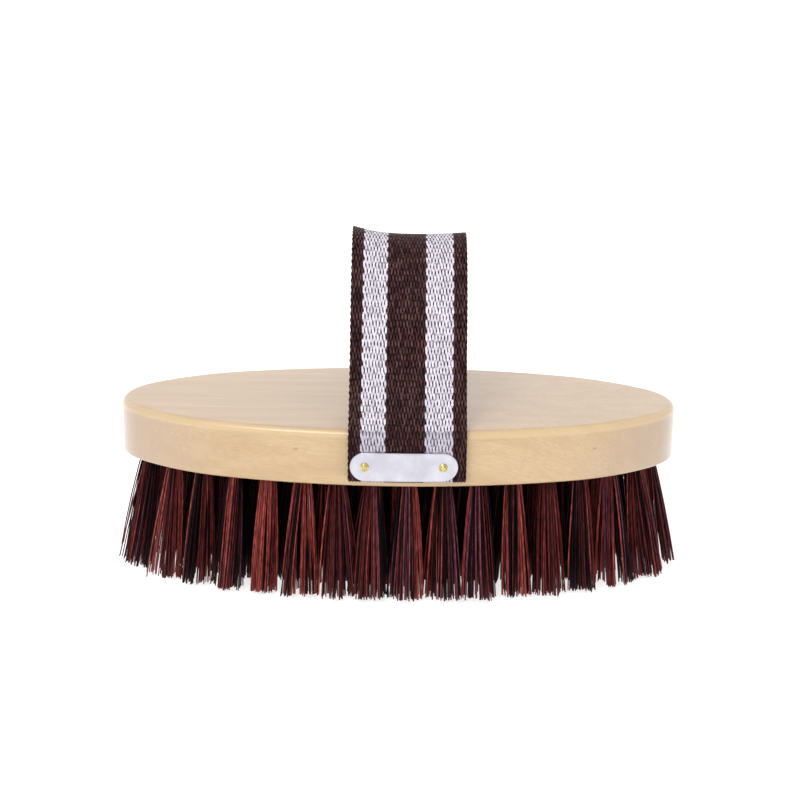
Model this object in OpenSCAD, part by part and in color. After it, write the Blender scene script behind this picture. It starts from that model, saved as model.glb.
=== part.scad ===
/* [Wooden back] */
// Length of the oval back
back_length = 200; // [190:1:210]
// Width of the oval back
back_width = 90; // [86:1:96]
// Thickness of the back
back_thickness = 19.5; // [18:0.5:22]
// Radius of the oval's two ends
end_radius = 24.5; // [22:0.5:26]
// Direction in which each end arc gives way to a shoulder arc
end_turn = 46; // [42:1:48]
// Direction in which each shoulder arc gives way to a side arc
shoulder_turn = 74; // [72:1:77]
// Radius of the rounded top edge
top_edge_radius = 2.4; // [1:0.1:4]
// Radius of the rounded bottom edge
bottom_edge_radius = 1; // [0.5:0.1:2]

/* [Bristle tufts] */
// Length of the bristles below the back
bristle_length = 42; // [30:1:50]
// Diameter of a tuft hole
hole_diameter = 5.2; // [4.5:0.1:5.6]
// Depth of a tuft hole
hole_depth = 12; // [9:0.5:14]
// Diameter that a tuft fans out to at its tips
tip_diameter = 10.6; // [8:0.2:11]
// Distance from the oval's edge to the outer ring of tufts
edge_inset = 9.5; // [9:0.5:11]
// Distance between one ring of tufts and the next
ring_spacing = 11.9; // [11.4:0.1:12.2]
// Distance between the tufts of a ring
tuft_pitch = 12.2; // [12:0.1:13]
// Outward lean of the outer ring of tufts
outer_lean = 9; // [4:0.5:10]
// Outward lean of the middle ring of tufts
middle_lean = 4.5; // [3:0.5:6]
// Outward lean of the inner ring of tufts
inner_lean = 2; // [1:0.5:3]
// Number of tufts in the straight centre row
centre_count = 9; // [7:2:9]
// Distance between the tufts of the centre row
centre_pitch = 12.8; // [12:0.1:13]
// Diameter of the wire that anchors a folded tuft
anchor_diameter = 1; // [0.6:0.1:1.2]
// Length that an anchor wire bites into the wood past each side of its hole
anchor_bite = 0.9; // [0.5:0.1:1.2]

/* [Hand strap] */
// Width of the webbing
strap_width = 40; // [34:1:45]
// Thickness of one layer of webbing
strap_thickness = 1.3; // [1:0.1:1.6]
// Distance of the strap's centre line from the middle of the back
strap_offset = 3.2; // [0:0.1:5]
// Gap between the back's bottom face and the strap's folded end
strap_end_gap = 2; // [1:0.5:4]
// Radius of the crease at the back's top edge
crease_radius = 3; // [2:0.5:4]
// Steepness of the strap just above the crease
crease_heading = 48; // [46:1:52]
// Radius of the strap's lower stretch, which curves up and away from the back
lower_radius = 80; // [76:1:84]
// Steepness of the strap where the lower stretch ends
middle_heading = 72; // [70:1:74]
// Radius of the strap's upper stretch, which curves in towards the crown
upper_radius = 70; // [66:1:74]
// Steepness of the strap where the crown's round starts
crown_heading = 52; // [50:1:55]

/* [Plates and pins] */
// Length of a metal plate
plate_length = 36.5; // [34:0.5:38]
// Height of a metal plate
plate_height = 10; // [8:0.5:11]
// Thickness of a metal plate
plate_thickness = 0.9; // [0.6:0.1:1.2]
// Distance of the plates' centre from the middle of the back
plate_offset = 2.1; // [0:0.1:4]
// Depth of the plates' centre line below the back's top face
plate_drop = 11.5; // [11:0.5:12]
// Distance between the two pins of a plate
pin_spacing = 26.5; // [24:0.5:28]
// Diameter of a pin's shank
pin_diameter = 1.6; // [1.2:0.1:2]
// Diameter of a pin's domed head
pin_head_diameter = 3; // [2.6:0.1:3.6]
// Height of a pin's domed head
pin_head_height = 1.1; // [0.8:0.1:1.4]
// Length of a pin inside the wood
pin_bite = 6; // [4:0.5:6]

/* [Hidden] */
$fn = 96;
// How far a cutting shape runs past the face that it cuts
clear = 1;

half_length = back_length / 2;
half_width = back_width / 2;
back_bottom = bristle_length;
back_top = back_bottom + back_thickness;

// The oval is drawn with three radii, and all neighbouring arcs share a tangent. The end radius is
// given, and the two conditions that the arcs must meet at half the width give the other two.
turn_a = [cos(end_turn), sin(end_turn)];
turn_b = [cos(shoulder_turn), sin(shoulder_turn)];
reach_x = -half_length + end_radius * (1 - turn_a.x);
reach_y = half_width - end_radius * turn_a.y;
oval_det = (turn_b.x - turn_a.x) * (1 - turn_b.y) + turn_b.x * (turn_b.y - turn_a.y);
shoulder_radius = (reach_x * (1 - turn_b.y) + turn_b.x * reach_y) / oval_det;
side_radius = ((turn_b.x - turn_a.x) * reach_y - (turn_b.y - turn_a.y) * reach_x) / oval_det;
end_centre = [half_length - end_radius, 0];
shoulder_centre = end_centre + (end_radius - shoulder_radius) * turn_a;
side_centre = shoulder_centre + (shoulder_radius - side_radius) * turn_b;
// Change of direction from one point of the oval's outline to the next
outline_step = 2;
// Change of direction from one ring of a rounded edge to the next
edge_step = 18;

// Half-lengths of the three rings of tufts, from the edge inwards
outer_ring = [half_length - edge_inset, half_width - edge_inset];
middle_ring = outer_ring - ring_spacing * [1, 1];
inner_ring = middle_ring - ring_spacing * [1, 1];
// Part of a pitch by which each ring's first tuft is moved round
outer_shift = 0.8;
middle_shift = 0;
inner_shift = 0;
// A tuft's fibres fold over the anchor, this far below the hole's blind end
anchor_cover = 1.6;
// A tuft's fan starts this much inside the plug in its hole, sideways and along it
fan_inset = 0.3;
fan_overlap = 0.4;

// The webbing's end is folded under, so two layers lie against the wood
hem_thickness = 2 * strap_thickness;
hem_bottom = back_bottom + strap_end_gap;
band_face = -(half_width + hem_thickness);
band_mid = band_face + strap_thickness / 2;
// Height at which the outer layer leaves the vertical
crease_start = back_top - 2.2;
// Height of the folded layer's free end, just under the crease
hem_top = crease_start - 0.5;
// Number of straight steps in each arc of the strap's path
arc_steps = 10;

plate_mid = back_top - plate_drop;
pin_seat = half_width + hem_thickness + plate_thickness;

// ---- places of the tufts ----

function on_ellipse(size, t) = [size.x * cos(t), size.y * sin(t)];

// Pairs of the distance walked round an ellipse and the angle reached, one for each degree
function walk(size) = [
    for (t = 0, s = 0; t <= 360; s = s + norm(on_ellipse(size, t + 1) - on_ellipse(size, t)), t = t + 1) [s, t]
];

// Angles of a ring's tufts, evenly spaced along it, an even number so that both ends are alike
function ring_angles(size, shift) =
    let (table = walk(size), total = table[360][0], count = 2 * round(total / tuft_pitch / 2))
    [for (i = [0 : count - 1]) lookup((i + shift) * total / count, table)];

// Direction that points straight out of an ellipse
function outward(size, t) = atan2(sin(t) / size.y, cos(t) / size.x);

centre_places = [for (i = [0 : centre_count - 1]) (i - (centre_count - 1) / 2) * centre_pitch];

// ---- wooden back ----

// The point at which the outline, moved inwards by inset, faces the given direction
function oval_point(direction, inset) =
    let (
        fold = asin(abs(sin(direction))),
        centre = fold < end_turn ? end_centre : fold < shoulder_turn ? shoulder_centre : side_centre,
        radius = fold < end_turn ? end_radius : fold < shoulder_turn ? shoulder_radius : side_radius,
        point = centre + (radius - inset) * [cos(fold), sin(fold)]
    )
    [point.x * sign(cos(direction)), point.y * sign(sin(direction))];

function outline(inset) = [for (d = [0 : outline_step : 360 - outline_step]) oval_point(d, inset)];

// Pairs of inset and height, up the rounded side of the back
side_rings = concat(
    [for (a = [90 : -edge_step : 0]) bottom_edge_radius * [1 - cos(a), 1 - sin(a)]],
    [for (a = [0 : edge_step : 90]) [0, back_thickness] + top_edge_radius * [1 - cos(a), sin(a) - 1]]
);

// The blank of the back: flat above and below, with one ring of points for each pair
module oval_blank() {
    around = 360 / outline_step;
    last = len(side_rings) - 1;
    polyhedron(
        points = [for (ring = side_rings) for (p = outline(ring.x)) [p.x, p.y, ring.y]],
        faces = concat(
            [[for (i = [0 : around - 1]) i]],
            [for (r = [0 : last - 1]) for (i = [0 : around - 1])
                let (next = (i + 1) % around)
                [r * around + i, (r + 1) * around + i, (r + 1) * around + next, r * around + next]],
            [[for (i = [around - 1 : -1 : 0]) last * around + i]]
        )
    );
}

module tuft_hole() {
    translate([0, 0, back_bottom - clear])
        cylinder(d = hole_diameter, h = hole_depth + clear);
}

module along_ring(size, shift) {
    for (t = ring_angles(size, shift))
        translate(on_ellipse(size, t))
            children();
}

module along_centre() {
    for (x = centre_places)
        translate([x, 0])
            children();
}

module at_every_tuft() {
    along_ring(outer_ring, outer_shift) children();
    along_ring(middle_ring, middle_shift) children();
    along_ring(inner_ring, inner_shift) children();
    along_centre() children();
}

module wood_back() {
    color("burlywood")
        difference() {
            translate([0, 0, back_bottom])
                oval_blank();
            at_every_tuft() {
                tuft_hole();
                anchor();
            }
            for (side = [0, 1])
                mirror([0, side, 0])
                    for (end = [-1, 1])
                        pin_place(end)
                            pin_shank();
        }
}

// ---- tufts and their anchors ----

// A short wire across the fold of a tuft; its ends bite into the wood beside the hole
module anchor() {
    wire_length = hole_diameter + 2 * anchor_bite;
    translate([-wire_length / 2, 0, back_bottom + hole_depth - anchor_cover])
        rotate([0, 90, 0])
            cylinder(d = anchor_diameter, h = wire_length);
}

module anchors() {
    color("silver")
        children();
}

// One tuft: a plug in its hole and a fan of fibres that is trimmed flat at the tips
module tuft(direction, lean) {
    fan_length = bristle_length / cos(lean) + tip_diameter;
    fan_start = hole_diameter - 2 * fan_inset;
    widening = (tip_diameter - fan_start) / bristle_length;
    difference() {
        union() {
            translate([0, 0, back_bottom - fan_overlap])
                cylinder(d = hole_diameter, h = hole_depth + fan_overlap);
            translate([0, 0, back_bottom])
                rotate([0, 180 - lean, direction])
                    cylinder(d1 = fan_start, d2 = fan_start + widening * fan_length, h = fan_length);
        }
        translate([0, 0, -back_bottom])
            cube(2 * back_bottom, center = true);
        anchor();
    }
}

// The tufts of the quarter of a ring that begins at the angle from
module ring_tufts(size, shift, lean, from) {
    color([0.33, 0.1, 0.1])
        for (t = ring_angles(size, shift))
            if (floor((t - from) / 90) % 4 == 0)
                translate(on_ellipse(size, t))
                    tuft(outward(size, t), lean);
}

module outer_tufts(from) {
    ring_tufts(outer_ring, outer_shift, outer_lean, from);
}

module middle_tufts(from) {
    ring_tufts(middle_ring, middle_shift, middle_lean, from);
}

module inner_tufts(from) {
    ring_tufts(inner_ring, inner_shift, inner_lean, from);
}

module outer_right_tufts() { outer_tufts(-45); }
module outer_rear_tufts() { outer_tufts(45); }
module outer_left_tufts() { outer_tufts(135); }
module outer_front_tufts() { outer_tufts(225); }
module middle_right_tufts() { middle_tufts(-45); }
module middle_rear_tufts() { middle_tufts(45); }
module middle_left_tufts() { middle_tufts(135); }
module middle_front_tufts() { middle_tufts(225); }
module inner_right_tufts() { inner_tufts(-45); }
module inner_rear_tufts() { inner_tufts(45); }
module inner_left_tufts() { inner_tufts(135); }
module inner_front_tufts() { inner_tufts(225); }

module centre_tufts() {
    color([0.33, 0.1, 0.1])
        along_centre()
            tuft(0, 0);
}

module outer_anchors() { anchors() along_ring(outer_ring, outer_shift) anchor(); }
module middle_anchors() { anchors() along_ring(middle_ring, middle_shift) anchor(); }
module inner_anchors() { anchors() along_ring(inner_ring, inner_shift) anchor(); }
module centre_anchors() { anchors() along_centre() anchor(); }

// ---- hand strap ----

// The strap's path lies across the back, in a plane with x across it and y up. A heading is the
// angle of the path to the horizontal, and a radius is negative where the path turns downwards.
function left_of(heading) = [-sin(heading), cos(heading)];
function arc_end(start, radius, from, to) = start + radius * (left_of(from) - left_of(to));

crease_point = [band_mid, crease_start];
lower_point = arc_end(crease_point, -crease_radius, 90, crease_heading);
upper_point = arc_end(lower_point, lower_radius, crease_heading, middle_heading);
crown_point = arc_end(upper_point, -upper_radius, middle_heading, crown_heading);
// The crown is one arc over the middle of the back
crown_radius = -crown_point.x / sin(crown_heading);

// Points along one arc, at a distance to the left of the path, without the arc's last point
function arc_points(start, radius, from, to, aside) = [
    for (i = [0 : arc_steps - 1])
        let (heading = from + (to - from) * i / arc_steps)
        arc_end(start, radius, from, heading) + aside * left_of(heading)
];

// The front half of the arch, from the single layer at the wood's side up to the crown
function arch_points(aside) = concat(
    [[band_mid - aside, hem_top - clear]],
    arc_points(crease_point, -crease_radius, 90, crease_heading, aside),
    arc_points(lower_point, lower_radius, crease_heading, middle_heading, aside),
    arc_points(upper_point, -upper_radius, middle_heading, crown_heading, aside),
    arc_points(crown_point, -crown_radius, crown_heading, 0, aside)
);

// A line of points followed by its mirror image, which runs back from the middle
function mirrored(points) = concat(points, [for (i = [len(points) - 1 : -1 : 0]) [-points[i].x, points[i].y]]);

module arch() {
    outer = mirrored(arch_points(strap_thickness / 2));
    inner = mirrored(arch_points(-strap_thickness / 2));
    translate([strap_offset - strap_width / 2, 0, 0])
        rotate([90, 0, 90])
            linear_extrude(height = strap_width)
                polygon(concat(outer, [for (i = [len(inner) - 1 : -1 : 0]) inner[i]]));
}

// A curved slab that lies against the back's front side, between two distances from its face
module side_shell(inner, outer) {
    translate([0, -side_centre.y, 0])
        difference() {
            cylinder(r = side_radius + outer, h = back_top);
            translate([0, 0, -clear])
                cylinder(r = side_radius + inner, h = back_top + 2 * clear);
        }
}

// The folded end that is pinned to the side of the back
module strap_end() {
    intersection() {
        side_shell(0, hem_thickness);
        translate([strap_offset - strap_width / 2, band_face - clear, hem_bottom])
            cube([strap_width, 2 * hem_thickness, hem_top - hem_bottom]);
    }
}

module hand_strap() {
    color([0.25, 0.16, 0.16])
        difference() {
            union() {
                arch();
                for (side = [0, 1])
                    mirror([0, side, 0])
                        strap_end();
            }
            for (side = [0, 1])
                mirror([0, side, 0])
                    for (end = [-1, 1])
                        pin_place(end)
                            pin_shank();
        }
}

// ---- plates and pins ----

// A flat slab with a plate's outline, which reaches from before to behind the curved plate
module plate_outline() {
    straight = plate_length - plate_height;
    depth = plate_thickness + 3 * clear;
    translate([plate_offset, -pin_seat - clear, plate_mid]) {
        translate([-straight / 2, 0, -plate_height / 2])
            cube([straight, depth, plate_height]);
        for (end = [-1, 1])
            translate([end * straight / 2, 0, 0])
                rotate([-90, 0, 0])
                    cylinder(d = plate_height, h = depth);
    }
}

module plate() {
    color("gainsboro")
        difference() {
            intersection() {
                side_shell(hem_thickness, hem_thickness + plate_thickness);
                plate_outline();
            }
            for (end = [-1, 1])
                pin_place(end)
                    pin_shank();
        }
}

// Moves a pin, drawn along +Y from its seat, to one end of the front plate
module pin_place(end) {
    x = plate_offset + end * pin_spacing / 2;
    sag = side_radius - sqrt(side_radius * side_radius - x * x);
    translate([x, sag - pin_seat, plate_mid])
        children();
}

module pin_shank() {
    point = pin_diameter;
    straight = pin_seat - half_width + pin_bite - point;
    rotate([-90, 0, 0]) {
        cylinder(d = pin_diameter, h = straight);
        translate([0, 0, straight])
            cylinder(d1 = pin_diameter, d2 = 0.3, h = point);
    }
}

module pin_head() {
    half = pin_head_diameter / 2;
    dome_radius = (half * half + pin_head_height * pin_head_height) / (2 * pin_head_height);
    rotate([90, 0, 0])
        intersection() {
            translate([0, 0, pin_head_height - dome_radius])
                sphere(dome_radius);
            cylinder(d = pin_head_diameter + clear, h = pin_head_height + clear);
        }
}

module pin(end) {
    color("goldenrod")
        pin_place(end) {
            pin_shank();
            pin_head();
        }
}

module front_plate() { plate(); }
module rear_plate() { mirror([0, 1, 0]) plate(); }
module front_left_pin() { pin(-1); }
module front_right_pin() { pin(1); }
module rear_left_pin() { mirror([0, 1, 0]) pin(-1); }
module rear_right_pin() { mirror([0, 1, 0]) pin(1); }

wood_back();
hand_strap();
front_plate();
rear_plate();
front_left_pin();
front_right_pin();
rear_left_pin();
rear_right_pin();
outer_front_tufts();
outer_right_tufts();
outer_rear_tufts();
outer_left_tufts();
middle_front_tufts();
middle_right_tufts();
middle_rear_tufts();
middle_left_tufts();
inner_front_tufts();
inner_right_tufts();
inner_rear_tufts();
inner_left_tufts();
centre_tufts();
outer_anchors();
middle_anchors();
inner_anchors();
centre_anchors();
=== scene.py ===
import math
import random

import bmesh
import bpy
import numpy as np
from mathutils import Matrix, Vector


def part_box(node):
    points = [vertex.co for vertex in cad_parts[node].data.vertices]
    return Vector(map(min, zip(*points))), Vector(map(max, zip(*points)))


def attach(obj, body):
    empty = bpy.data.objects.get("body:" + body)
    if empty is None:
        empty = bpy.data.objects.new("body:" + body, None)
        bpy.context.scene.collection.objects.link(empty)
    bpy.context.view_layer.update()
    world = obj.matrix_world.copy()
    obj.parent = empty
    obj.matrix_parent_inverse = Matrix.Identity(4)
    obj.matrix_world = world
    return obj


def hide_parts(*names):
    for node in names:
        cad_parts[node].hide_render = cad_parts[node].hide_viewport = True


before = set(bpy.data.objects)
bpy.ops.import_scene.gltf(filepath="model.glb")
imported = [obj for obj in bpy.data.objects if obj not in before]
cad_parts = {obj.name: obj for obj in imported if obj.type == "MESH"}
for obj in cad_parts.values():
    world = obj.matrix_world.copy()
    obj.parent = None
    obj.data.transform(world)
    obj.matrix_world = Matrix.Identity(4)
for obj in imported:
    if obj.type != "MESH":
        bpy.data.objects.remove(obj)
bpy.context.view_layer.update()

# Lengths are in millimetres, as in part.scad, and meshes are scaled to metres when they are made.
# Materials, camera, floor and lights use metres. The front side faces -Y.
MM = 0.001


def cad_box(node):
    """The low and high corner of a CAD node's box, in millimetres."""
    low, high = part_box(node)
    return low / MM, high / MM


# ---- driving dimensions, the same as part.scad's ----

wood_low, wood_high = cad_box("wood_back")
HALF_LENGTH, HALF_WIDTH = wood_high.x, wood_high.y
BACK_BOTTOM, BACK_TOP = wood_low.z, wood_high.z
# Radius of the outline's end arc, and the directions in degrees at which its arcs meet
END_RADIUS, END_TURN, SHOULDER_TURN = 24.5, 46, 74
TOP_EDGE, BOTTOM_EDGE = 2.4, 1.0

HOLE_DIAMETER, HOLE_DEPTH = 5.2, 12.0
TIP_DIAMETER = 10.6
EDGE_INSET, RING_SPACING, TUFT_PITCH = 9.5, 11.9, 12.2
CENTRE_COUNT, CENTRE_PITCH = 9, 12.8
# Each ring's name, its shift in pitches and its tufts' lean in degrees, from the edge inwards
RINGS = (("outer", 0.8, 9), ("middle", 0, 4.5), ("inner", 0, 2))

STRAP_WIDTH, STRAP_THICKNESS, STRAP_OFFSET = 40.0, 1.3, 3.2
STRAP_BOTTOM = cad_box("hand_strap")[0].z
CREASE_START, HEM_TOP = BACK_TOP - 2.2, BACK_TOP - 2.7
# Radius and turn in degrees of the arcs from the crease up to the crown
STRAP_ARCS = ((3.0, -42), (80.0, 24), (70.0, -20))
HEM = 2 * STRAP_THICKNESS

PLATE_LENGTH, PLATE_HEIGHT, PLATE_THICKNESS = 36.5, 10.0, 0.9
PLATE_OFFSET, PLATE_MID = 2.1, BACK_TOP - 11.5
PIN_SPACING, PIN_HEAD, PIN_HEAD_HEIGHT = 26.5, 3.0, 1.1


# ---- the back's outline ----


def turned(degrees):
    """The unit vector in a direction."""
    return np.array([math.cos(math.radians(degrees)), math.sin(math.radians(degrees))])


def oval_arcs():
    """Centre and radius of the end, shoulder and side arcs of the back's outline, which share tangents."""
    a, b = turned(END_TURN), turned(SHOULDER_TURN)
    reach = np.array([-HALF_LENGTH + END_RADIUS * (1 - a[0]), HALF_WIDTH - END_RADIUS * a[1]])
    system = np.array([[b[0] - a[0], -b[0]], [b[1] - a[1], 1 - b[1]]])
    shoulder, side = np.linalg.solve(system, reach)
    end_centre = np.array([HALF_LENGTH - END_RADIUS, 0])
    shoulder_centre = end_centre + (END_RADIUS - shoulder) * a
    side_centre = shoulder_centre + (shoulder - side) * b
    return (end_centre, END_RADIUS), (shoulder_centre, shoulder), (side_centre, side)


END_ARC, SHOULDER_ARC, SIDE_ARC = oval_arcs()
SIDE_RADIUS = SIDE_ARC[1]


def oval_point(direction, inset):
    """The point at which the back's outline, moved inwards by inset, faces the given direction."""
    x, y = turned(direction)
    fold = math.degrees(math.asin(min(1, abs(y))))
    centre, radius = END_ARC if fold < END_TURN else SHOULDER_ARC if fold < SHOULDER_TURN else SIDE_ARC
    px, py = centre + (radius - inset) * turned(fold)
    return math.copysign(px, x), math.copysign(py, y)


def side_sag(x):
    """How far the back's long side falls away from its middle at x."""
    return SIDE_RADIUS - np.sqrt(SIDE_RADIUS**2 - np.square(x))


# ---- mesh helpers ----


def add_object(name, data):
    """A new object in the scene."""
    made = bpy.data.objects.new(name, data)
    bpy.context.scene.collection.objects.link(made)
    return made


def add_mesh(name, vertices, faces):
    """A smooth-shaded piece from points in millimetres."""
    mesh = bpy.data.meshes.new(name)
    mesh.from_pydata((np.asarray(vertices, float) * MM).tolist(), [], faces)
    mesh.update()
    mesh.polygons.foreach_set("use_smooth", [True] * len(mesh.polygons))
    return add_object(name, mesh)


def face_outwards(piece):
    """Turns the faces of a closed piece outwards."""
    shape = bmesh.new()
    shape.from_mesh(piece.data)
    bmesh.ops.recalc_face_normals(shape, faces=shape.faces)
    shape.to_mesh(piece.data)
    shape.free()


def finish_piece(piece, materials, slot, *nodes):
    """Gives a piece its materials and its body, and hides the CAD nodes that it stands for. The slot is not
    used.
    """
    for material in materials:
        piece.data.materials.append(material)
    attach(piece, "root")
    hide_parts(*nodes)


def ring_faces(rings, around):
    """Quads between rings of points, each ring closed."""
    faces = []
    for r in range(rings - 1):
        for i in range(around):
            j = (i + 1) % around
            faces.append((r * around + i, r * around + j, (r + 1) * around + j, (r + 1) * around + i))
    return faces


def end_faces(rings, around):
    """The first and the last ring of points, each as one face."""
    last = (rings - 1) * around
    return list(range(around)), list(range(last, last + around))


# ---- material helpers ----


class Nodes:
    """A material with one Principled shader, and short calls that add the nodes that feed it."""

    def __init__(self, name, **sockets):
        self.material = bpy.data.materials.new(name)
        self.material.use_nodes = True
        self.tree = self.material.node_tree
        self.tree.nodes.clear()
        self.shader = self.tree.nodes.new("ShaderNodeBsdfPrincipled")
        output = self.tree.nodes.new("ShaderNodeOutputMaterial")
        self.tree.links.new(self.shader.outputs[0], output.inputs[0])
        for socket, value in sockets.items():
            self.shader.inputs[socket.replace("_", " ")].default_value = value

    def put(self, value, socket):
        """Links an output to the socket, or sets the socket to a plain value."""
        if isinstance(value, bpy.types.NodeSocket):
            self.tree.links.new(value, socket)
        else:
            socket.default_value = value

    def feed(self, socket, value):
        """Puts a value into a socket of the shader."""
        self.put(value, self.shader.inputs[socket])

    def node(self, kind, **settings):
        """Adds a shader node with its settings."""
        made = self.tree.nodes.new("ShaderNode" + kind)
        for key, value in settings.items():
            setattr(made, key, value)
        return made

    def place(self):
        return self.node("TexCoord").outputs["Object"]

    def attribute(self, name, output="Fac"):
        return self.node("Attribute", attribute_name=name).outputs[output]

    def calculate(self, kind, operation, values):
        """The outputs of a math node whose inputs are filled in order."""
        made = self.node(kind, operation=operation)
        for value, socket in zip(values, made.inputs):
            self.put(value, socket)
        return made.outputs

    def math(self, operation, *values):
        return self.calculate("Math", operation, values)[0]

    def vector(self, operation, *values):
        result = "Value" if operation == "LENGTH" else "Vector"
        return self.calculate("VectorMath", operation, values)[result]

    def split(self, vector):
        """The X, Y and Z of a vector."""
        made = self.node("SeparateXYZ")
        self.put(vector, made.inputs[0])
        return tuple(made.outputs)

    def noise(self, at, scale, detail=2.0, roughness=0.5):
        """Noise with its own scale, per metre, along each axis."""
        made = self.node("TexNoise")
        made.inputs["Scale"].default_value = 1
        made.inputs["Detail"].default_value = detail
        made.inputs["Roughness"].default_value = roughness
        self.put(self.vector("MULTIPLY", at, scale), made.inputs["Vector"])
        return made.outputs["Fac"]

    def span(self, value, low, high, to_low=0.0, to_high=1.0):
        """Maps the stretch from low to high onto the one from to_low to to_high, eased at both ends."""
        made = self.node("MapRange", interpolation_type="SMOOTHSTEP")
        for given, socket in zip((value, low, high, to_low, to_high), made.inputs):
            self.put(given, socket)
        return made.outputs[0]

    def mix(self, share, one, other, blend="MIX"):
        """One colour with a share of the other."""
        made = self.node("Mix", data_type="RGBA", blend_type=blend)
        for given, socket in ((share, made.inputs[0]), (one, made.inputs[6]), (other, made.inputs[7])):
            self.put(given, socket)
        return made.outputs[2]

    def bump(self, height, distance, strength=1.0):
        """Adds a bump, distance in millimetres, on top of the bumps added before."""
        made = self.node("Bump")
        made.inputs["Strength"].default_value = strength
        made.inputs["Distance"].default_value = distance * MM
        self.put(height, made.inputs["Height"])
        before = self.shader.inputs["Normal"].links
        if before:
            self.put(before[0].from_socket, made.inputs["Normal"])
        self.put(made.outputs[0], self.shader.inputs["Normal"])


def rgb(r, g, b):
    return (r, g, b, 1.0)


# ---- materials ----

# X and Z of the pin knots on the front side
KNOTS = ((-34.6, 54.3), (67.7, 53.2))


def wood_grain(m, at):
    """Bands, fine grain and pores along X, which waver and slope down towards the right end."""
    waver, slope_end = 0.005, 0.035
    wander = m.noise(at, (12, 30, 30), 2)
    slope = m.span(m.split(at)[0], 0.02, 0.11, 0.0, slope_end)
    shift = m.node("CombineXYZ")
    m.put(m.math("MULTIPLY", wander, waver), shift.inputs[1])
    m.put(m.math("MULTIPLY_ADD", wander, waver, slope), shift.inputs[2])
    wandering = m.vector("ADD", at, shift.outputs[0])
    bands = m.noise(wandering, (6, 170, 170), 2)
    grain = m.noise(wandering, (24, 1500, 1500), 4, 0.62)
    pores = m.span(m.noise(wandering, (210, 3600, 3600), 1), 0.68, 0.76)
    return bands, grain, pores


def painted_rim_highlight(m, at):
    """How much of the paler band, a painted highlight, shows where the side meets the rounded top edge."""
    height = m.split(at)[2]
    below = m.span(height, (BACK_TOP - 3.2) * MM, (BACK_TOP - 1.9) * MM, 0.0, 0.5)
    above = m.span(height, (BACK_TOP - 0.4) * MM, BACK_TOP * MM, 1.0, 0.0)
    return m.math("MULTIPLY", below, above)


def wood_material():
    """Pale beech under a clear coat, with painted shade and sheen on the faces towards the ends, a painted
    highlight along the top rim, and the pin knots.
    """
    m = Nodes("pale_beech", IOR=1.5, Coat_Weight=1.0, Coat_Roughness=0.28, Coat_IOR=1.5)
    at = m.place()
    bands, grain, pores = wood_grain(m, at)
    colour = m.mix(m.span(bands, 0.35, 0.68), rgb(0.575, 0.408, 0.211), rgb(0.505, 0.342, 0.163))
    colour = m.mix(m.span(grain, 0.3, 0.75, 0.0, 0.62), colour, rgb(0.43, 0.28, 0.145))
    # Painted shade and sheen: darker, greyer and pinker where the surface faces towards the ends
    facing_x = m.split(m.node("TexCoord").outputs["Normal"])[0]
    painted_end_shade = m.span(m.math("ABSOLUTE", facing_x), 0.1, 0.85, 0.0, 0.9)
    colour = m.mix(painted_end_shade, colour, rgb(0.4, 0.29, 0.205))
    # Painted highlight: a paler yellow band along the rounded top edge
    colour = m.mix(painted_rim_highlight(m, at), colour, rgb(0.66, 0.5, 0.26))
    flecks = m.span(m.noise(at, (420, 900, 900), 2), 0.6, 0.75)
    colour = m.mix(m.math("MULTIPLY", flecks, 0.16), colour, rgb(0.74, 0.58, 0.4))
    colour = m.mix(m.math("MULTIPLY", pores, 0.42), colour, rgb(0.34, 0.2, 0.11))
    for x, z in KNOTS:
        knot = (x * MM, (float(side_sag(x)) - HALF_WIDTH) * MM, z * MM)
        apart = m.vector("MULTIPLY", m.vector("SUBTRACT", at, knot), (0.5, 0.3, 1))
        darkness = m.span(m.vector("LENGTH", apart), 0.0001, 0.0006, 0.6, 0.0)
        colour = m.mix(darkness, colour, rgb(0.25, 0.14, 0.08))
    m.feed("Base Color", colour)
    m.feed("Roughness", m.span(grain, 0.2, 0.8, 0.3, 0.44))
    m.bump(grain, 0.03, 0.7)
    m.bump(m.math("MULTIPLY", pores, -1), 0.05, 0.6)
    return m.material


def webbing_material():
    """Woven webbing. The mesh holds each float's height, tint and dye, and the painted shade below and
    along the crease.
    """
    m = Nodes("striped_webbing", IOR=1.45, Specular_IOR_Level=0.05)
    at = m.attribute("strap_place", "Vector")
    brown, tint, crease_shade = m.attribute("brown"), m.attribute("tint"), m.attribute("crease_shade")
    threads = m.noise(at, (6500, 700, 6500), 2)
    uneven = m.span(m.noise(at, (1400, 800, 1400), 1), 0.3, 0.7, -0.12, 0.12)
    height = m.math("ADD", m.attribute("weave_height"), uneven)
    white = m.mix(tint, rgb(0.64, 0.605, 0.68), rgb(0.80, 0.76, 0.84))
    # Partly the dark weft between the white floats, partly painted shade: the floats fade to near black
    # towards their low edges
    white = m.mix(m.span(height, 0.46, 0.84), rgb(0.01, 0.008, 0.016), white)
    # Painted shade below the crease and along it
    white = m.mix(crease_shade, white, rgb(0.14, 0.12, 0.17))
    dyed = m.mix(tint, rgb(0.042, 0.014, 0.016), rgb(0.125, 0.062, 0.056))
    # Painted shade: the brown floats fade to near black in the hollows between them
    dyed = m.mix(m.span(height, 0.55, 0.98), rgb(0.0025, 0.0003, 0.0008), dyed)
    # Painted shade below the crease and along it
    dyed = m.mix(crease_shade, dyed, rgb(0.012, 0.004, 0.005))
    colour = m.mix(m.span(brown, 0.4, 0.6), white, dyed)
    colour = m.mix(m.span(threads, 0.4, 0.72, 0.0, 0.22), colour, rgb(0.3, 0.27, 0.3), "MULTIPLY")
    m.feed("Base Color", colour)
    m.feed("Roughness", m.span(threads, 0.2, 0.8, 0.36, 0.55))
    m.bump(threads, 0.05, 0.8)
    return m.material


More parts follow.
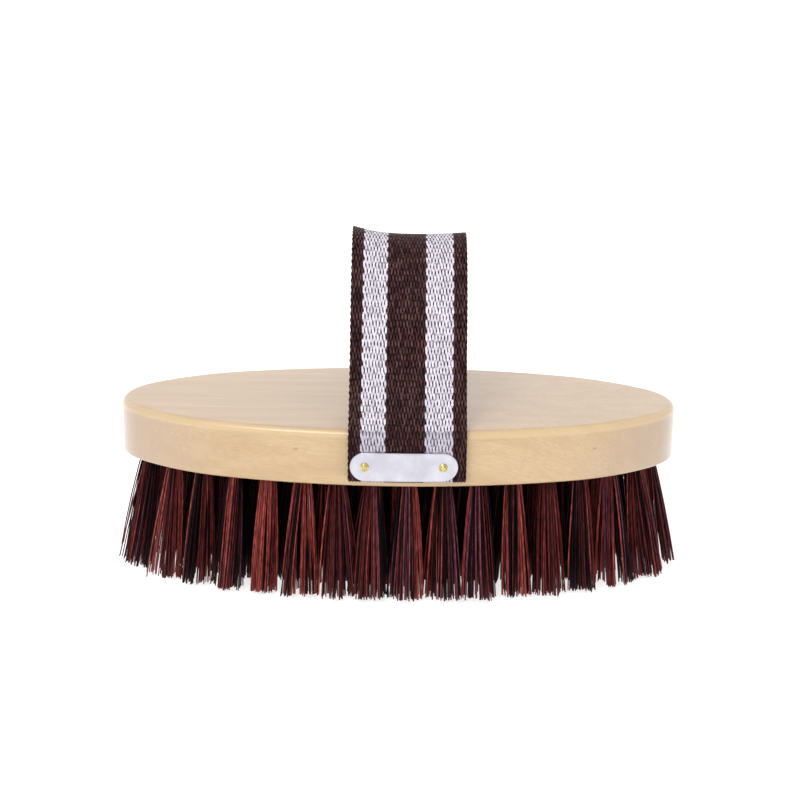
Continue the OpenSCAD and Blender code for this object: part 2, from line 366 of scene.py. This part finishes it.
def plate_material():
    """Satin aluminium with fine scratches that run both ways."""
    m = Nodes("satin_aluminium", Metallic=1.0, IOR=1.45)
    at = m.place()
    along = m.noise(at, (110, 3000, 5200), 2)
    slanted = m.node("Mapping")
    m.put(at, slanted.inputs["Vector"])
    slanted.inputs["Rotation"].default_value = (0, 0.9, 0)
    across = m.noise(slanted.outputs[0], (180, 3000, 4200), 1)
    cloud = m.noise(at, (160, 160, 160), 3)
    colour = m.mix(m.span(cloud, 0.3, 0.7), rgb(0.49, 0.488, 0.545), rgb(0.6, 0.597, 0.66))
    scratches = m.span(across, 0.68, 0.74)
    colour = m.mix(m.math("MULTIPLY", scratches, 0.35), colour, rgb(0.74, 0.74, 0.8))
    m.feed("Base Color", colour)
    m.feed("Roughness", m.span(along, 0.25, 0.75, 0.3, 0.46))
    m.bump(along, 0.012, 0.8)
    m.bump(m.math("MULTIPLY", scratches, -1), 0.01, 0.6)
    return m.material


def brass_material():
    """Polished brass with patches of tarnish."""
    m = Nodes("brass", Metallic=1.0, IOR=1.45)
    at = m.place()
    tarnish = m.noise(at, (700, 700, 700), 3)
    colour = m.mix(m.span(tarnish, 0.35, 0.75), rgb(0.66, 0.56, 0.25), rgb(0.36, 0.29, 0.1))
    m.feed("Base Color", colour)
    m.feed("Roughness", m.span(tarnish, 0.3, 0.7, 0.2, 0.36))
    m.bump(m.noise(at, (2600, 2600, 2600), 1), 0.01, 0.5)
    return m.material


def wire_material():
    """Grey drawn wire, streaked along its length."""
    m = Nodes("anchor_wire", Metallic=1.0, IOR=1.45)
    at = m.place()
    drawn = m.noise(at, (90, 4000, 4000), 2)
    m.feed("Base Color", m.mix(m.span(drawn, 0.3, 0.7), rgb(0.42, 0.41, 0.4), rgb(0.6, 0.59, 0.58)))
    m.feed("Roughness", m.span(drawn, 0.3, 0.7, 0.28, 0.42))
    return m.material


def bristle_material(name, tone, streak):
    """One shade of bristle: streaks along the fibre, a little paler towards the worn tips."""
    m = Nodes(name, IOR=1.5, Specular_IOR_Level=0.1)
    at = m.place()
    streaks = m.noise(at, (1800, 1800, 120), 2)
    tips = m.span(m.split(at)[2], 0.0, 0.012, 0.35, 0.0)
    colour = m.mix(m.span(streaks, 0.35, 0.72), tone, streak)
    colour = m.mix(tips, colour, streak)
    m.feed("Base Color", colour)
    m.feed("Roughness", m.span(streaks, 0.3, 0.7, 0.3, 0.44))
    m.bump(streaks, 0.03, 0.5)
    return m.material


# ---- camera, floor and light ----


def add_camera():
    """The view along +Y from above the front side, aimed at the middle of the back's top face."""
    elevation, roll, distance = math.radians(15.3), math.radians(0.73), 0.575
    back = Vector((0, -math.cos(elevation), math.sin(elevation)))
    right = Vector((1, 0, 0))
    up = back.cross(right)
    across = math.cos(roll) * right + math.sin(roll) * up
    upright = math.cos(roll) * up - math.sin(roll) * right
    data = bpy.data.cameras.new("camera")
    data.lens, data.sensor_width = 71.2, 36.0
    data.shift_x, data.shift_y = 0.0018, -0.004
    data.clip_start, data.clip_end = 0.01, 60
    camera = add_object("camera", data)
    turn = Matrix((across, upright, back)).transposed()
    aim = Vector((0, 0, BACK_TOP * MM))
    camera.matrix_world = Matrix.Translation(aim + distance * back) @ turn.to_4x4()
    bpy.context.scene.camera = camera


def add_floor():
    """A wide white disc that glows a little, so that it stays as pale as the studio round it."""
    disc = bmesh.new()
    bmesh.ops.create_circle(disc, cap_ends=True, segments=64, radius=14)
    mesh = bpy.data.meshes.new("floor")
    disc.to_mesh(mesh)
    disc.free()
    floor = add_object("floor", mesh)
    m = Nodes("pale_floor", Roughness=0.9, IOR=1.2, Emission_Color=rgb(1, 1, 1), Emission_Strength=0.75)
    clouds = m.noise(m.place(), (3, 3, 3), 2)
    m.feed("Base Color", m.mix(clouds, rgb(0.59, 0.59, 0.59), rgb(0.61, 0.61, 0.61)))
    mesh.materials.append(m.material)


def add_studio():
    """A white world, a little dimmer overhead and towards the left and right."""
    world = bpy.data.worlds.new("studio")
    world.use_nodes = True
    tree = world.node_tree
    sky = tree.nodes["Background"]
    sky.inputs["Color"].default_value = rgb(1, 0.975, 0.99)
    split = tree.nodes.new("ShaderNodeSeparateXYZ")
    tree.links.new(tree.nodes.new("ShaderNodeTexCoord").outputs["Generated"], split.inputs[0])
    sideways = tree.nodes.new("ShaderNodeMath")
    sideways.operation = "ABSOLUTE"
    tree.links.new(split.outputs[0], sideways.inputs[0])
    strength = tree.nodes.new("ShaderNodeMath")
    strength.operation = "MULTIPLY"
    tree.links.new(strength.outputs[0], sky.inputs["Strength"])
    overhead, aside = (0.15, 0.75, 1.05, 0.97), (0.4, 1, 1, 0.96)
    fades = ((split.outputs[2], overhead), (sideways.outputs[0], aside))
    for (value, limits), factor in zip(fades, strength.inputs):
        fade = tree.nodes.new("ShaderNodeMapRange")
        tree.links.new(value, fade.inputs["Value"])
        for socket, limit in zip(("From Min", "From Max", "To Min", "To Max"), limits):
            fade.inputs[socket].default_value = limit
        tree.links.new(fade.outputs[0], factor)
    bpy.context.scene.world = world


def add_light(name, place, size, power):
    """A square lamp in metres and watts, turned towards the middle of the brush."""
    middle = Vector((0, 0, 0.06))
    data = bpy.data.lights.new(name, "AREA")
    data.shape, data.size, data.energy = "SQUARE", size, power
    light = add_object(name, data)
    light.location = place
    light.rotation_euler = (middle - light.location).to_track_quat("-Z", "Y").to_euler()


# ---- the wooden back ----


def ellipse_angles(size, shift):
    """Angles of a ring's tufts, evenly spaced along its ellipse, in degrees."""
    degrees = np.arange(361)
    points = np.stack([size[0] * np.cos(np.radians(degrees)), size[1] * np.sin(np.radians(degrees))], 1)
    walked = np.concatenate([[0], np.cumsum(np.linalg.norm(np.diff(points, axis=0), axis=1))])
    total = walked[-1]
    count = 2 * round(total / TUFT_PITCH / 2)
    return np.interp((np.arange(count) + shift) * total / count, walked, degrees)


def tuft_places():
    """{CAD node: [(x, y, direction of the lean in degrees, lean in degrees)]} for every tuft."""
    first = -(CENTRE_COUNT - 1) / 2
    places = {"centre_tufts": [((first + i) * CENTRE_PITCH, 0, 0, 0) for i in range(CENTRE_COUNT)]}
    outer = np.array([HALF_LENGTH - EDGE_INSET, HALF_WIDTH - EDGE_INSET])
    for step, (ring, shift, lean) in enumerate(RINGS):
        size = outer - step * RING_SPACING
        for t in ellipse_angles(size, shift):
            x, y = size * turned(t)
            direction = math.degrees(math.atan2(turned(t)[1] / size[1], turned(t)[0] / size[0]))
            quarter = int(((t + 45) % 360) // 90)
            side = ("right", "rear", "left", "front")[quarter]
            places.setdefault(f"{ring}_{side}_tufts", []).append((x, y, direction, lean))
    return places


PLACES = tuft_places()


def back_profile():
    """Inset and height of the back's rings, from its bottom face over both rounded edges to its top."""
    flat = 1.2
    profile = [(BOTTOM_EDGE + flat, BACK_BOTTOM)]
    for x, y in map(turned, np.linspace(90, 0, 6)):
        profile.append((BOTTOM_EDGE * (1 - x), BACK_BOTTOM + BOTTOM_EDGE * (1 - y)))
    for x, y in map(turned, np.linspace(0, 90, 9)):
        profile.append((TOP_EDGE * (1 - x), BACK_TOP + TOP_EDGE * (y - 1)))
    profile.append((TOP_EDGE + flat, BACK_TOP))
    return profile


def drill_holes(shape):
    """Adds every hole's wall and end, and returns the edges of the holes' mouths."""
    sides = 28
    circle = [turned(360 * i / sides) * HOLE_DIAMETER / 2 for i in range(sides)]
    mouths = []
    for x, y, _, _ in sum(PLACES.values(), []):
        mouth, end = (
            [shape.verts.new((x + cx, y + cy, z)) for cx, cy in circle]
            for z in (BACK_BOTTOM, BACK_BOTTOM + HOLE_DEPTH)
        )
        for i in range(sides):
            j = (i + 1) % sides
            shape.faces.new((mouth[i], end[i], end[j], mouth[j]))
            mouths.append(shape.edges.get((mouth[i], mouth[j])))
        shape.faces.new(end)
    return mouths


def add_wood_back():
    """The oval back, with rounded edges and a blind hole for every tuft."""
    step, sharp = 1.5, math.radians(40)
    around = int(360 / step)
    directions = (np.arange(around) + 0.5) * step
    profile = back_profile()
    faces = ring_faces(len(profile), around)
    faces.append(end_faces(len(profile), around)[1])

    shape = bmesh.new()
    made = [shape.verts.new((*oval_point(d, inset), z)) for inset, z in profile for d in directions]
    for face in faces:
        shape.faces.new([made[i] for i in face])
    bottom_edges = [shape.edges.get((made[i], made[(i + 1) % around])) for i in range(around)]
    bottom_edges += drill_holes(shape)
    bmesh.ops.triangle_fill(shape, use_beauty=True, edges=bottom_edges, normal=(0, 0, -1))
    bmesh.ops.recalc_face_normals(shape, faces=shape.faces)
    for face in shape.faces:
        face.smooth = True
    for edge in shape.edges:
        edge.smooth = edge.calc_face_angle(0) < sharp
    bmesh.ops.scale(shape, vec=(MM, MM, MM), verts=shape.verts)
    mesh = bpy.data.meshes.new("wooden_back")
    shape.to_mesh(mesh)
    shape.free()
    finish_piece(add_object("wooden_back", mesh), [wood_material()], "light_wood", "wood_back")


# ---- the webbing strap ----

COLUMNS, ROW_PITCH = 36, 2.3
COLUMN_PITCH = STRAP_WIDTH / COLUMNS
# Points of the mesh for each column and row. The inner face has half as many across.
FINENESS = 4
# Depth of the weave, and how far the rounded selvedges reach in from the strap's edges
RELIEF, SELVEDGE = 0.34, 0.45


def strap_path():
    """The strap's middle line in the plane across the back: lengths, Y, Z and headings in degrees.

    It starts at the folded layer's free end, against the wood, turns round at the bottom, climbs to the
    crease and arches over to the other side.
    """
    half = STRAP_THICKNESS / 2
    down = HEM_TOP - STRAP_BOTTOM - STRAP_THICKNESS
    up = CREASE_START - STRAP_BOTTOM - STRAP_THICKNESS
    legs = [(down, 0), (math.pi * half, -180), (up, 0)]
    heading, reach = 90.0, -(HALF_WIDTH + 1.5 * STRAP_THICKNESS)
    for radius, angle in STRAP_ARCS:
        legs.append((radius * math.radians(abs(angle)), angle))
        bend = math.copysign(radius, angle)
        reach += bend * (math.sin(math.radians(heading + angle)) - math.sin(math.radians(heading)))
        heading += angle
    crown_radius = -reach / math.sin(math.radians(heading))
    legs.append((crown_radius * math.radians(heading), -heading))
    legs += legs[::-1]

    fine = 0.05
    headings, lengths = [np.array([-90.0])], [[0]]
    for length, angle in legs:
        count = max(2, round(length / fine))
        headings.append(headings[-1][-1] + angle * np.arange(1, count + 1) / count)
        lengths.append(np.full(count, length / count))
    lengths, heading = np.concatenate(lengths), np.concatenate(headings)
    middle = np.radians(np.concatenate([[heading[0]], (heading[1:] + heading[:-1]) / 2]))
    y = -(HALF_WIDTH + half) + np.cumsum(lengths * np.cos(middle))
    z = HEM_TOP + np.cumsum(lengths * np.sin(middle))
    return np.cumsum(lengths), y, z, heading


def floats(column, row):
    """The float on top at each place of the weave, in columns and rows: its height, column and row."""
    half_width, half_length = 0.46, 0.84
    best = np.full(np.broadcast(column, row).shape, -1.0)
    best_column, best_row = np.zeros_like(best), np.zeros_like(best)
    for step in (-1, 0, 1):
        j = np.floor(row) + step
        odd = np.mod(j, 2) / 2
        for side in (0, 1):
            i = np.floor(column - 0.5 - odd) + side + odd
            across, along = (column - i - 0.5) / half_width, (row - j - 0.5) / half_length
            height = 1 - np.square(across) - np.square(along)
            wins = height > best
            best = np.where(wins, height, best)
            best_column, best_row = np.where(wins, i, best_column), np.where(wins, j, best_row)
    return np.sqrt(np.clip(best, 0, 1)), best_column, best_row


def is_brown(column):
    """Stripes across the strap, in columns: nearly 4 brown, 7.5 white, 12 brown, 8.5 white and 4 brown."""
    middle = column + 0.5
    return ~(((middle >= 4) & (middle < 11.4)) | ((middle > 23.4) & (middle < 32)))


def scattered(column, row):
    """A number from 0 to 1 for each float, which looks random but is worked out from its place."""
    seed = np.sin(column * 127.1 + row * 311.7) * 43758.5453
    return seed - np.floor(seed)


def strap_curl(x, along, total):
    """How far the strap's edges curl outwards where it bends over the hand, more on the left."""
    left, right, stretch, sharpness = 2.7, 0.8, 24, 2.2
    crown = np.exp(-np.square((along - total / 2) / stretch))
    return crown * np.where(x < 0, left, right) * (np.abs(x) / (STRAP_WIDTH / 2)) ** sharpness


def strap_section():
    """One loop round the strap: place across it, outer or inner face (1 or -1), and whether it is woven."""
    outer_margin, inner_margin = 0.15, 0.3
    outer = np.linspace(0, STRAP_WIDTH, FINENESS * COLUMNS + 1)
    inner = np.linspace(STRAP_WIDTH, 0, FINENESS // 2 * COLUMNS + 1)
    bend = [turned(a) for a in (60, 25, 0, -25, -60)]
    loop = [(place, 1, True) for place in outer.clip(outer_margin, STRAP_WIDTH - outer_margin)]
    loop += [(STRAP_WIDTH - SELVEDGE + SELVEDGE * c, d, False) for c, d in bend]
    loop += [(place, -1, True) for place in inner.clip(inner_margin, STRAP_WIDTH - inner_margin)]
    loop += [(SELVEDGE - SELVEDGE * c, -d, False) for c, d in bend]
    return (np.array(values) for values in zip(*loop))


def store(piece, name, kind, channel, values):
    """Keeps values for the points of a piece's mesh, where its material reads them."""
    kept = piece.data.attributes.new(name, kind, "POINT")
    kept.data.foreach_set(channel, values.astype(np.float32).ravel())


def add_strap():
    """The webbing, whose floats are geometry on both faces, with rounded selvedges and folded ends."""
    path, path_y, path_z, headings = strap_path()
    total = path[-1]
    rows = round(total / ROW_PITCH)
    row_pitch = total / rows
    stations = np.linspace(0, total, FINENESS * rows + 1)
    places, level, woven = strap_section()

    half, left_bulge, right_bulge = STRAP_THICKNESS / 2, -0.16, 0.08
    across, along = np.meshgrid(places, stations)
    height, column, row = floats(across / COLUMN_PITCH, along / row_pitch)
    bulge = np.where(across < STRAP_WIDTH / 2, left_bulge, right_bulge)
    x = across - STRAP_WIDTH / 2 + np.where(woven, 0, bulge * np.cos(2 * math.pi * along / row_pitch))
    lift = level * np.where(woven, half - RELIEF * (1 - height), half * 0.9) + strap_curl(x, along, total)
    x = x + STRAP_OFFSET

    # The ends follow the curved side of the back, and the strap is straight again this far above the crease
    settled = 45
    heading = np.radians(np.interp(stations, path, headings))[:, None]
    middle_y, middle_z = (np.interp(stations, path, values)[:, None] for values in (path_y, path_z))
    rise = ((middle_z - CREASE_START) / settled).clip(0, 1)
    inwards = -np.sign(middle_y) * side_sag(x) * (1 - rise * rise * (3 - 2 * rise))
    y = middle_y - np.sin(heading) * lift + inwards
    z = middle_z + np.cos(heading) * lift
    grid = (len(stations), len(places))
    first_end, last_end = end_faces(*grid)
    faces = [quad[::-1] for quad in ring_faces(*grid)] + [first_end, last_end[::-1]]
    piece = add_mesh("webbing_strap", np.stack([x, y, z], 2).reshape(-1, 3), faces)

    # Painted shade: the webbing is darker below the crease, and darkest in a thin line along the crease
    crease_arc = 1.6
    crease = HEM_TOP + CREASE_START - 2 * STRAP_BOTTOM + crease_arc
    past_crease = np.abs(along - total / 2) - (total / 2 - crease)
    crease_shade = 0.4 * np.exp(-np.square(past_crease / 0.5)) + 0.3 / (1 + np.exp(-past_crease / 0.4))
    values = {
        "weave_height": np.where(woven, height, 0.8),
        "brown": np.where(woven, is_brown(column) * 1.0, 1.0),
        "tint": scattered(column, row),
        "crease_shade": crease_shade,
    }
    for name, value in values.items():
        store(piece, name, "FLOAT", "value", value)
    depth = np.broadcast_to(level * 3, along.shape)
    store(piece, "strap_place", "FLOAT_VECTOR", "vector", np.stack([across, along, depth], 2) * MM)
    finish_piece(piece, [webbing_material()], "striped_webbing", "hand_strap")


# ---- plates and pins ----


def plate_outline():
    """The plate's outline in its own plane, from its right end, and how many points its upper half has."""
    radius = PLATE_HEIGHT / 2
    straight = PLATE_LENGTH / 2 - radius
    cap = [(straight + radius * c, radius * d) for c, d in map(turned, np.linspace(0, 90, 12))]
    middle = [(x, radius) for x in np.linspace(straight, 0, 8)[1:]]
    quarter = cap + middle
    upper = quarter + [(-x, z) for x, z in quarter[-2::-1]]
    return upper + [(x, -z) for x, z in upper[-2:0:-1]], len(upper)


def plate_face(base, around, upper):
    """Faces between the plate's upper and lower edge: quads, and a triangle at each round end."""
    faces = []
    for i in range(upper - 1):
        corners = (i, i + 1, around - i - 1, (around - i) % around)
        faces.append(list(dict.fromkeys(base + corner for corner in corners)))
    return faces


def add_plate(name, side, material, node):
    """A plate with round ends and eased outer edges, bent to the back's front (-1) or rear (1) side."""
    ease, flat = 0.28, 0.35
    outline, upper = plate_outline()
    layers = [(0, 0), (0, PLATE_THICKNESS - ease)]
    layers += [(ease * (1 - c), PLATE_THICKNESS - ease * (1 - d)) for c, d in map(turned, (30, 60, 90))]
    layers.append((ease + flat, PLATE_THICKNESS))
    vertices = []
    for inset, out in layers:
        shrink_x = (PLATE_LENGTH / 2 - inset) / (PLATE_LENGTH / 2)
        shrink_z = (PLATE_HEIGHT / 2 - inset) / (PLATE_HEIGHT / 2)
        for x, z in outline:
            px = x * shrink_x + PLATE_OFFSET
            py = side * (HALF_WIDTH + HEM + out - float(side_sag(px)))
            vertices.append((px, py, z * shrink_z + PLATE_MID))
    around = len(outline)
    faces = ring_faces(len(layers), around)
    faces += plate_face((len(layers) - 1) * around, around, upper)
    faces += [face[::-1] for face in plate_face(0, around, upper)]
    piece = add_mesh(name, vertices, faces)
    face_outwards(piece)
    finish_piece(piece, [material], "aluminium_plate", node)


def pin_profile():
    """Radius and height above the plate along a pin: its shank, a thin rolled rim and the dome."""
    radius = PIN_HEAD / 2
    shank = [(0.8, -6.0), (0.8, -0.02)]
    rim = [(radius - 0.15, -0.02), (radius, 0.08), (radius, 0.24), (radius - 0.1, 0.4)]
    groove = [(radius - 0.27, 0.46), (radius - 0.42, 0.42), (radius - 0.52, 0.44)]
    wide, start = radius - 0.55, 0.5
    dome = [(wide * c, start + (PIN_HEAD_HEIGHT - start) * d) for c, d in map(turned, range(4, 90, 9))]
    return shank + rim + groove + dome


def add_pin(name, side, end, material, node):
    """A domed nail head and its shank, on one side (-1 or 1) at the left (-1) or right (1) end."""
    x = PLATE_OFFSET + end * PIN_SPACING / 2
    seat = HALF_WIDTH + HEM + PLATE_THICKNESS - float(side_sag(x))
    profile, around = pin_profile(), 28
    vertices = []
    for r, out in profile:
        for i in range(around):
            c, d = turned(360 * i / around)
            vertices.append((x + r * c, side * (seat + out), PLATE_MID + r * d))
    faces = [*ring_faces(len(profile), around), *end_faces(len(profile), around)]
    piece = add_mesh(name, vertices, faces)
    face_outwards(piece)
    finish_piece(piece, [material], "brass_pin", node)


# ---- bristles ----

FIBRES, LOCKS, FIBRE_STEPS = 92, 7, 5
FIBRE_RADIUS, FIBRE_TAPER = (0.24, 0.34), 0.12
# How much further the tufts lean at the ends of the brush, in degrees
END_LEAN = 2
# How far a tuft fans out compared with its CAD solid, and how much more it does so along the ring
FAN, FAN_ALONG = (0.9, 1.12), 0.35
# Chances that a lock has its tuft's main shade, that it strays, and that a fibre has a shade of its own
MAIN_LOCKS, STRAY_LOCKS, ODD_FIBRES = 0.4, 0.25, 0.42
# Spread of the random shifts: of a tuft's lean, of a lock's pull and a stray lock's, and of its length
TUFT_SHIFT, LOCK_PULL, STRAY_PULL, LOCK_LENGTH = 0.5, 0.95, 2.4, 0.35
# The same for each fibre: its tip, its length, its bow and its wave
TIP_SHIFT, FIBRE_LENGTH, BOW, WAVE = 0.45, 0.45, 0.45, 0.07


def fibre(base, tip, bow, wave, radius, points, faces):
    """Adds one tapered three-sided tube from base to tip and returns how many faces it has."""
    start = len(points)
    steps = np.linspace(0, 1, FIBRE_STEPS)
    line = base + (tip - base) * steps[:, None]
    line = line + bow * (steps * (1 - steps))[:, None] + wave * np.sin(steps * 2 * math.pi)[:, None]
    turn = random.random() * 120
    for step, centre in zip(steps, line):
        for corner in range(3):
            c, d = turned(turn + corner * 120) * radius * (1 - FIBRE_TAPER * step**2)
            points.append((centre[0] + c, centre[1] + d, centre[2]))
    for k in range(start, start + 3 * (FIBRE_STEPS - 1), 3):
        for corner in range(3):
            a, b = k + corner, k + (corner + 1) % 3
            faces.append((a, b, b + 3, a + 3))
    faces.append((len(points) - 3, len(points) - 2, len(points) - 1))
    return 3 * (FIBRE_STEPS - 1) + 1


def jitter(size):
    """A random shift in the plane."""
    return np.array([random.gauss(0, size), random.gauss(0, size)])


def tuft_locks(shades, chances):
    """Shade, sideways pull and extra length of each lock of a tuft."""
    main = random.choices(shades, chances)[0]
    locks = []
    for _ in range(LOCKS):
        shade = main if random.random() < MAIN_LOCKS else random.choices(shades, chances)[0]
        pull = jitter(STRAY_PULL if random.random() < STRAY_LOCKS else LOCK_PULL)
        locks.append((shade, pull, random.gauss(0, LOCK_LENGTH)))
    return locks


def add_tufts(name, places, shades, chances, node):
    """One stretch of tufts. A tuft's fibres fall into locks, which share a direction and mostly a shade."""
    root, in_hole, outwards = HOLE_DIAMETER / 2 - 0.1, 2, 0.9
    points, faces, slots = [], [], []
    for x, y, direction, lean in places:
        tilt = math.radians(lean + END_LEAN * abs(x) / HALF_LENGTH)
        lean_by = turned(direction) * BACK_BOTTOM * math.tan(tilt) + jitter(TUFT_SHIFT)
        spread = TIP_DIAMETER / HOLE_DIAMETER * random.uniform(*FAN)
        first = random.random() * 360
        locks = tuft_locks(shades, chances)
        aside = turned(direction + 90)
        for _ in range(FIBRES):
            around, out = random.random() * 360, math.sqrt(random.random())
            shade, pull, length = locks[int(((around + first) % 360) / 360 * LOCKS)]
            if random.random() < ODD_FIBRES:
                shade = random.choices(shades, chances)[0]
            foot = turned(around) * out * root
            fan = foot * spread + FAN_ALONG * (foot @ aside) * aside
            tip = fan + lean_by + pull + jitter(TIP_SHIFT)
            # Fibres of one length end higher when they splay
            lift = BACK_BOTTOM - math.sqrt(BACK_BOTTOM**2 - np.linalg.norm(tip - foot) ** 2)
            low = abs(random.gauss(0.4 + length, FIBRE_LENGTH)) + lift
            bow, wave = jitter(BOW) + foot * outwards, jitter(WAVE)
            count = fibre(
                np.array([x + foot[0], y + foot[1], BACK_BOTTOM + in_hole]),
                np.array([x + tip[0], y + tip[1], low]),
                np.append(bow, 0), np.append(wave, 0), random.uniform(*FIBRE_RADIUS), points, faces,
            )
            slots += [shades.index(shade)] * count
    piece = add_mesh(name, points, faces)
    finish_piece(piece, shades, "bristle", node)
    piece.data.polygons.foreach_set("material_index", slots)


def add_bristles():
    """Every stretch of tufts, with more light shades in the outer ring, and mostly the darkest shade
    further in as painted shade of the brush's interior.
    """
    shades = [
        bristle_material("bristle_maroon", rgb(0.05, 0.0075, 0.008), rgb(0.135, 0.023, 0.024)),
        bristle_material("bristle_brick", rgb(0.17, 0.026, 0.023), rgb(0.42, 0.085, 0.066)),
        bristle_material("bristle_dark", rgb(0.003, 0.0006, 0.001), rgb(0.014, 0.003, 0.006)),
        bristle_material("bristle_mauve", rgb(0.09, 0.022, 0.034), rgb(0.2, 0.062, 0.086)),
        bristle_material("bristle_lilac", rgb(0.3, 0.2, 0.28), rgb(0.5, 0.38, 0.48)),
    ]
    # Painted shade: the tufts inside the outer ring are given mostly the near-black shade
    outer_chances, interior_shadow_chances = (28, 19, 40, 12, 0.9), (22, 6, 67, 5, 0)
    for node, places in sorted(PLACES.items()):
        chances = outer_chances if node.startswith("outer") else interior_shadow_chances
        add_tufts(node.replace("tufts", "bristles"), places, shades, chances, node)


# ---- the scene ----

random.seed(2)
add_camera()
add_floor()
add_studio()
add_light("key_light", (-0.6, -1.1, 1.5), 0.6, 11)
add_light("fill_light", (1.2, -0.8, 0.9), 1.0, 0.6)
bpy.context.scene.view_settings.view_transform = "Standard"
add_wood_back()
add_strap()
aluminium, brass = plate_material(), brass_material()
for name, side in (("front", -1), ("rear", 1)):
    add_plate(f"{name}_label_plate", side, aluminium, f"{name}_plate")
    for hand, end in (("left", -1), ("right", 1)):
        add_pin(f"{name}_{hand}_nail", side, end, brass, f"{name}_{hand}_pin")
add_bristles()
wire = wire_material()
for node in ("outer_anchors", "middle_anchors", "inner_anchors", "centre_anchors"):
    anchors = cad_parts[node]
    anchors.data.materials.clear()
    anchors.data.materials.append(wire)
